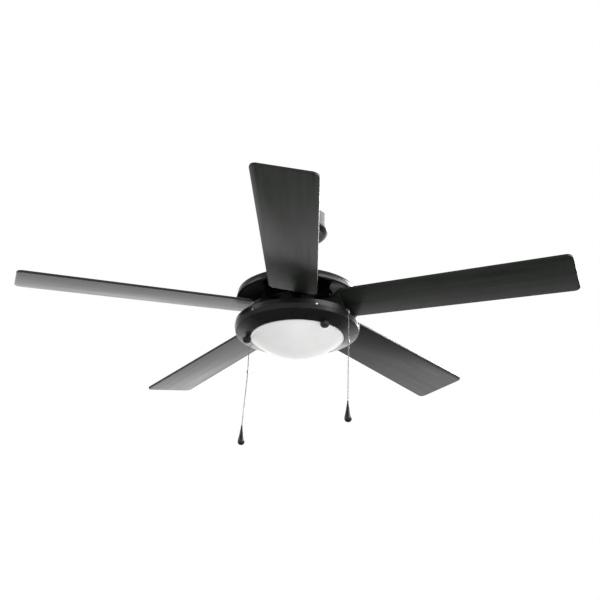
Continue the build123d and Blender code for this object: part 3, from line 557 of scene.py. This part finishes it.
def connector_bell(name, body, node, x, y):
    """Small bell with a rolled mouth that joins two chains."""
    place = Matrix.Translation((x, y, CONNECTOR_MOUTH))
    outside = [(0.0019, 0.0012), (0.0019, 0.0002), (0.0022, 0.0), (0.00262, 0.0002)]
    outside += [(0.0027, 0.0007), (0.00262, 0.0012), (0.00235, 0.0016), (0.0023, 0.0052)]
    outside += arc((0.0011, 0.0064), 0.0012, 0.0, 80.0, 6)
    outside += [(0.0009, 0.0078), (0.0007, 0.0086), (0.0006, 0.0090)]
    mesh = mesh_of(lambda shape: lathe(shape, outside, place, 32))
    return made(name, body, [node], mesh, [materials["chain_steel"]], 50.0)


def pull_pendant(name, body, node, key):
    """Turned drop with a brass ferrule, hanging in line with its chain."""
    last, before = Vector(routes[key][-1]), Vector(routes[key][-2])
    lean = last - before
    top = last - Vector((0.0, 0.0, 0.00015))
    tip = top + Vector((lean.x * 0.3, 0.0, lean.z))
    place = aimed(top, tip - top)
    long = PENDANT_LENGTH
    ferrule = [(0.0008, 0.0), (0.0017, 0.0001), (0.0021, 0.0005), (0.0021, 0.0034)]
    ferrule += [(0.00235, 0.0037), (0.00235, 0.0044), (0.0021, 0.0046)]
    body_line = [(0.0021, 0.0046), (0.00245, 0.0051), (0.0028, 0.0075)]
    shoulder = [(0.00365, 0.26), (0.00475, 0.40), (0.0061, 0.55), (0.0074, 0.68), (0.00835, 0.77)]
    belly = [(0.0086, 0.81), (0.0085, 0.86), (0.0078, 0.915), (0.0064, 0.955), (0.0044, 0.983)]
    for radius, share in shoulder + belly:
        body_line.append((radius, share * long))
    body_line += [(0.0022, 0.996 * long), (0.0, long)]

    def build(shape):
        lathe(shape, ferrule, place, 40, material=1)
        lathe(shape, body_line, place, 48, material=0)

    finishes = [materials["pendant_lacquer"], materials["brass_plate"]]
    return made(name, body, [node], mesh_of(build), finishes, 50.0)


for key in ("light", "speed"):
    chain, line, length = bead_chain(
        f"{key}_switch_beads", f"{key}_switch", f"{key}_switch_pull", f"{key}_switch_chain"
    )
    joint = routes[f"{key}_pull"][0]
    bell = connector_bell(f"{key}_chain_bell", f"{key}_switch_pull", f"{key}_connector", *joint[:2])
    chain, line, length = bead_chain(
        f"{key}_pull_beads", f"{key}_pull", f"{key}_pull", f"{key}_pull_chain"
    )
    held = top_bead(f"{key}_top_bead", f"{key}_pull", f"{key}_pull_chain", routes[f"{key}_pull"][0])
    drop = pull_pendant(f"{key}_drop", f"{key}_pull", f"{key}_pendant", f"{key}_pull")

# ---------------------------------------------------------------- blades
TIP, ROOT = 0.660, 0.117
TIP_HALF, ROOT_HALF = 0.0685, 0.0565
TIP_CORNER, ROOT_CORNER = 0.015, 0.012
THICK = 0.0055
SHIFT = -0.0068
PITCH = math.radians(10.7)
DROOP = math.radians(0.4)


def rounded(before, corner, after, radius, steps=10):
    """Points of a round corner between two runs of a flat outline."""
    corner = Vector(corner)
    one = (Vector(before) - corner).normalized()
    two = (Vector(after) - corner).normalized()
    half = one.angle(two) / 2
    reach = radius / math.tan(half)
    centre = corner + (one + two).normalized() * (radius / math.sin(half))
    start = corner + one * reach - centre
    end = corner + two * reach - centre
    sweep = start.angle_signed(end)
    points = []
    for step in range(steps + 1):
        angle = -sweep * step / steps
        cosine, sine = math.cos(angle), math.sin(angle)
        spot = Vector((start.x * cosine - start.y * sine, start.x * sine + start.y * cosine))
        points.append(centre + spot)
    return points


corners = [(ROOT, -ROOT_HALF), (TIP, -TIP_HALF), (TIP, TIP_HALF), (ROOT, ROOT_HALF)]
radii = [ROOT_CORNER, TIP_CORNER, TIP_CORNER, ROOT_CORNER]
outline = []
for index, (corner, radius) in enumerate(zip(corners, radii)):
    outline += rounded(corners[index - 1], corner, corners[(index + 1) % 4], radius)


def blade_place(azimuth):
    place = Matrix.Translation((0.0, 0.0, BLADE_Z)) @ Matrix.Rotation(math.radians(azimuth), 4, "Z")
    return place @ Matrix.Rotation(DROOP, 4, "Y") @ Matrix.Rotation(-PITCH, 4, "X")


def board(shape, place):
    """Blade board whose faces meet its edge band in a small round."""
    soft = 0.0009
    levels = [(soft, -THICK / 2), (0.00045, -THICK / 2 + 0.00012), (0.00012, -THICK / 2 + 0.00045)]
    levels += [(0.0, -THICK / 2 + soft), (0.0, THICK / 2 - soft)]
    levels += [(0.00012, THICK / 2 - 0.00045), (0.00045, THICK / 2 - 0.00012), (soft, THICK / 2)]
    rings = []
    for inset, height in levels:
        ring = []
        for index, spot in enumerate(outline):
            before = outline[index - 1]
            after = outline[(index + 1) % len(outline)]
            run = (after - before).normalized()
            inward = Vector((-run.y, run.x))
            moved = spot + inward * inset
            ring.append(shape.verts.new(place @ Vector((moved.x, moved.y + SHIFT, height))))
        rings.append(ring)
    count = len(outline)
    for below, above in zip(rings, rings[1:]):
        for step in range(count):
            after = (step + 1) % count
            face = shape.faces.new((below[step], below[after], above[after], above[step]))
            face.material_index = 1
    shape.faces.new(rings[0][::-1]).material_index = 0
    shape.faces.new(rings[-1]).material_index = 0


for number, azimuth in enumerate(BLADE_AZIMUTHS, start=1):
    place = blade_place(azimuth)
    mesh = mesh_of(lambda shape: board(shape, place))
    finishes = [materials[f"blade_{number}"], edge_band_painted_highlight]
    node = f"blade_{number}"
    made(f"blade_board_{number}", "rotor", [node], mesh, finishes, 50.0)

# ---------------------------------------------------------------- motor housing
HOUSING_LOW = BLADE_Z + 0.025
HOUSING_TOP = BLADE_Z + 0.080
SEAM = HOUSING_LOW + 0.016
housing_outside = [(0.1410, HOUSING_LOW)]
housing_outside += arc((0.1454, HOUSING_LOW + 0.0016), 0.0016, -90.0, -6.0, 6)
housing_outside += [(0.1442, SEAM - 0.0012), (0.1439, SEAM - 0.0008), (0.1431, SEAM - 0.0007)]
housing_outside += [(0.1429, SEAM), (0.1431, SEAM + 0.0007), (0.1437, SEAM + 0.0008)]
housing_outside += [(0.1436, SEAM + 0.0018), (0.1428, SEAM + 0.0030), (0.1372, SEAM + 0.0064)]
housing_outside += [(0.1355, SEAM + 0.0073), (0.1330, SEAM + 0.0083)]
housing_outside += [(0.0700, HOUSING_TOP - 0.0046), (0.0640, HOUSING_TOP - 0.0029)]
housing_outside += [(0.0560, HOUSING_TOP - 0.0013)]
housing_outside += [(0.0500, HOUSING_TOP - 0.0005), (0.0440, HOUSING_TOP), (0.0240, HOUSING_TOP)]
inside_wall = [(0.0240, HOUSING_TOP - 0.0015), (0.0430, HOUSING_TOP - 0.0015)]
inside_wall += [(0.0640, HOUSING_TOP - 0.0044), (0.1325, SEAM + 0.0067)]
inside_wall += [(0.1416, SEAM + 0.0018), (0.1422, SEAM), (0.1424, SEAM - 0.0010)]
inside_wall += [(0.1452, HOUSING_LOW + 0.0030), (0.1446, HOUSING_LOW + 0.0015)]
inside_wall += [(0.1410, HOUSING_LOW + 0.0015)]


def build_housing(shape):
    lathe(shape, housing_outside + inside_wall + [housing_outside[0]], Matrix.Identity(4), 256)
    bmesh.ops.remove_doubles(shape, verts=shape.verts, dist=1e-6)
    ends = [face for face in shape.faces if len(face.verts) > 4]
    bmesh.ops.delete(shape, geom=ends, context="FACES_ONLY")


made(
    "turned_housing",
    "fan",
    ["motor_housing"],
    mesh_of(build_housing),
    [materials[slot_of["motor_housing"]]],
    28.0,
)

# ---------------------------------------------------------------- screws
# Each is head radius, head rise, shank radius and shank length.
BLADE_SCREW = (0.0046, 0.0022, 0.0024, 0.0072)
IRON_SCREW = (0.0044, 0.0024, 0.0024, 0.0095)
PAN_SCREW = (0.0033, 0.0016, 0.0019, 0.008)
CANOPY_SCREW = (0.0038, 0.002, 0.002, 0.01)
HOUSING_SCREW = (0.0038, 0.0022, 0.002, 0.008)
IRON_PAD = 0.003
BLADE_SCREW_RADIUS, BLADE_SCREW_SPACING = 0.135, 0.030
IRON_SCREW_RADIUS, IRON_SCREW_ASIDE, IRON_SCREW_RISE = 0.062, 0.012, 0.013
PAN_SCREW_FIRST, PAN_SCREW_COUNT = -73.3, 6
PAN_SCREW_RADIUS, PAN_SCREW_DROP = 0.149, 0.046
CANOPY_SCREW_RADIUS, CANOPY_SCREW_Z = 0.075, -0.009
HOUSING_SCREW_RADIUS = 0.034
dark = [materials["dark_screw"]]


def build_blade_screws(shape):
    for index, azimuth in enumerate(BLADE_AZIMUTHS):
        place = blade_place(azimuth)
        for step in (-1, 0, 1):
            seat = (BLADE_SCREW_RADIUS, SHIFT + BLADE_SCREW_SPACING * step, THICK / 2 + IRON_PAD)
            over = place @ Matrix.Translation(seat)
            screw(shape, over, *BLADE_SCREW, 17 * index + 40 * step)
        for side in (-1, 1):
            turned = azimuth + side * math.degrees(math.atan2(IRON_SCREW_ASIDE, IRON_SCREW_RADIUS))
            out = math.hypot(IRON_SCREW_ASIDE, IRON_SCREW_RADIUS)
            seat = polar(turned, out, BLADE_Z + IRON_SCREW_RISE)
            screw(shape, aimed(seat, (0, 0, -1)), *IRON_SCREW, 23 * index + 31 * side)


def build_pan_screws(shape):
    for index in range(PAN_SCREW_COUNT):
        azimuth = PAN_SCREW_FIRST + 60 * index
        seat = polar(azimuth, PAN_SCREW_RADIUS, BLADE_Z - PAN_SCREW_DROP)
        screw(shape, aimed(seat, polar(azimuth, 1, 0), (0, 0, 1)), *PAN_SCREW, 25 * index)


def build_canopy_screws(shape):
    for index, azimuth in enumerate((-90, 90)):
        seat = polar(azimuth, CANOPY_SCREW_RADIUS, CANOPY_SCREW_Z)
        place = aimed(seat, polar(azimuth, 1, 0), (0, 0, 1))
        screw(shape, place, *CANOPY_SCREW, 20 + 50 * index)


def build_housing_screws(shape):
    for index, azimuth in enumerate((30, 150, 270)):
        seat = polar(azimuth, HOUSING_SCREW_RADIUS, HOUSING_TOP)
        screw(shape, aimed(seat, (0, 0, 1), (1, 0, 0)), *HOUSING_SCREW, 35 * index)


bright = [finish_of("nickel_screw", (0.42, 0.42, 0.43), 0.22, 1.0, vary=0.15, patch=400.0)]
for node, body, build, chosen in (
    ("blade_screw", "rotor", build_blade_screws, dark),
    ("pan_screw", "fan", build_pan_screws, bright),
    ("canopy_screw", "ceiling", build_canopy_screws, dark),
    ("housing_screw", "fan", build_housing_screws, dark),
):
    made(f"{node}_heads", body, [f"{node}s"], mesh_of(build), chosen)

# ---------------------------------------------------------------- glass knobs
KNOB_TOP = BLADE_Z - 0.0738
KNOB_CIRCLE = 0.119
KNOB_AZIMUTHS = (-58.0, 182.0)
for number, azimuth in enumerate(KNOB_AZIMUTHS, start=1):
    node = f"glass_knob_{number}"
    place = Matrix.Translation(polar(azimuth, KNOB_CIRCLE, KNOB_TOP))
    profile = [(0.0, -0.0122), (0.0016, -0.01217), (0.0032, -0.0119)]
    profile += arc((0.0042, -0.0067), 0.0053, -80.0, -20.0, 9)
    profile += [(0.0099, -0.0072), (0.0103, -0.0062), (0.0103, -0.0050), (0.0103, -0.0036)]
    profile += [(0.0103, -0.0022), (0.0103, -0.0012)]
    profile += arc((0.0095, -0.0008), 0.0008, 0.0, 90.0, 3)
    profile += [(0.0068, 0.0), (0.0060, 0.0004), (0.0060, 0.0019)]
    flute = (20, 0.0006, -0.0063, -0.0011)
    mesh = mesh_of(lambda shape: lathe(shape, profile, place, 160, flute))
    made(
        f"fluted_knob_{number}",
        node,
        [node],
        mesh,
        [materials[slot_of[node]]],
        40.0,
    )

# ---------------------------------------------------------------- floor, light and background
FLOOR_Z = -2.35
FLOOR_RADIUS = 14.0
FLOOR_THICK = 0.02
floor_place = Matrix.Translation((0, 0, FLOOR_Z))
floor_edge = [(FLOOR_RADIUS, -FLOOR_THICK), (FLOOR_RADIUS, 0.0)]
floor_mesh = mesh_of(lambda shape: lathe(shape, floor_edge, floor_place, 96))
floor = bpy.data.objects.new("floor", floor_mesh)
scene.collection.objects.link(floor)
floor_finish = finish_of("pale_floor", (0.74, 0.74, 0.73), 0.7, vary=0.02, patch=2.0, grain=90.0)
floor_mesh.materials.append(floor_finish)
floor.visible_glossy = False

world = bpy.data.worlds.new("studio")
scene.world = world
world.use_nodes = True
sky = world.node_tree
sky.nodes.clear()
direction = sky.nodes.new("ShaderNodeTexCoord")
parts = sky.nodes.new("ShaderNodeSeparateXYZ")
sky.links.new(direction.outputs["Generated"], parts.inputs["Vector"])


def sky_ramp(axis, stops):
    """Brightness by one coordinate of the direction, which goes from -1 to 1."""
    place = sky.nodes.new("ShaderNodeMapRange")
    place.inputs["From Min"].default_value = -1.0
    place.inputs["From Max"].default_value = 1.0
    sky.links.new(parts.outputs[axis], place.inputs["Value"])
    node = sky.nodes.new("ShaderNodeValToRGB")
    while len(node.color_ramp.elements) < len(stops):
        node.color_ramp.elements.new(0.5)
    for element, (position, level) in zip(node.color_ramp.elements, stops):
        element.position = position
        element.color = (level, level, level, 1.0)
    sky.links.new(place.outputs["Result"], node.inputs["Fac"])
    return node.outputs["Color"]


height_stops = [(0.0, 0.07), (0.15, 0.08), (0.23, 0.12), (0.31, 0.68)]
height_stops += [(0.41, 0.36), (0.50, 1.0), (0.72, 0.60), (1.0, 0.3)]
depth_stops = [(0.0, 0.30), (0.30, 0.24), (0.74, 0.24), (0.84, 0.36), (0.93, 0.85), (1.0, 1.0)]
by_height = sky_ramp("Z", height_stops)
by_depth = sky_ramp("Y", depth_stops)
both = sky.nodes.new("ShaderNodeMix")
both.data_type = "RGBA"
both.blend_type = "MULTIPLY"
both.inputs["Factor"].default_value = 1.0
sky.links.new(by_height, both.inputs["A"])
sky.links.new(by_depth, both.inputs["B"])
AROUND_STRENGTH = 2.4
around = sky.nodes.new("ShaderNodeBackground")
sky.links.new(both.outputs["Result"], around.inputs["Color"])
around.inputs["Strength"].default_value = AROUND_STRENGTH
behind = sky.nodes.new("ShaderNodeBackground")
behind.inputs["Color"].default_value = (1.0, 1.0, 1.0, 1.0)
behind.inputs["Strength"].default_value = 1.0
seen = sky.nodes.new("ShaderNodeLightPath")
choice = sky.nodes.new("ShaderNodeMixShader")
sky.links.new(seen.outputs["Is Camera Ray"], choice.inputs["Fac"])
sky.links.new(around.outputs["Background"], choice.inputs[1])
sky.links.new(behind.outputs["Background"], choice.inputs[2])
out = sky.nodes.new("ShaderNodeOutputWorld")
sky.links.new(choice.outputs["Shader"], out.inputs["Surface"])


def softbox(name, place, aim, size, power, glossy=True):
    light = bpy.data.lights.new(name, "AREA")
    light.shape = "SQUARE"
    light.size = size
    light.energy = power
    holder = bpy.data.objects.new(name, light)
    scene.collection.objects.link(holder)
    holder.matrix_world = aimed(Vector(place), Vector(place) - Vector(aim))
    holder.visible_glossy = glossy


softbox("key_right", (2.6, 0.3, 1.0), (0, 0, -0.25), 1.5, 46.0)
softbox("front_right", (2.1, -1.5, 0.95), (0, 0, -0.25), 1.9, 44.0)
softbox("rear_right", (2.0, 2.4, 1.5), (0, 0, -0.1), 1.4, 90.0)
softbox("side_left", (-2.6, -0.2, 0.9), (0, 0, -0.25), 1.4, 10.0)
softbox("low_front", (0.1, -1.5, -2.1), (0, 0, -0.35), 1.5, 30.0, glossy=False)
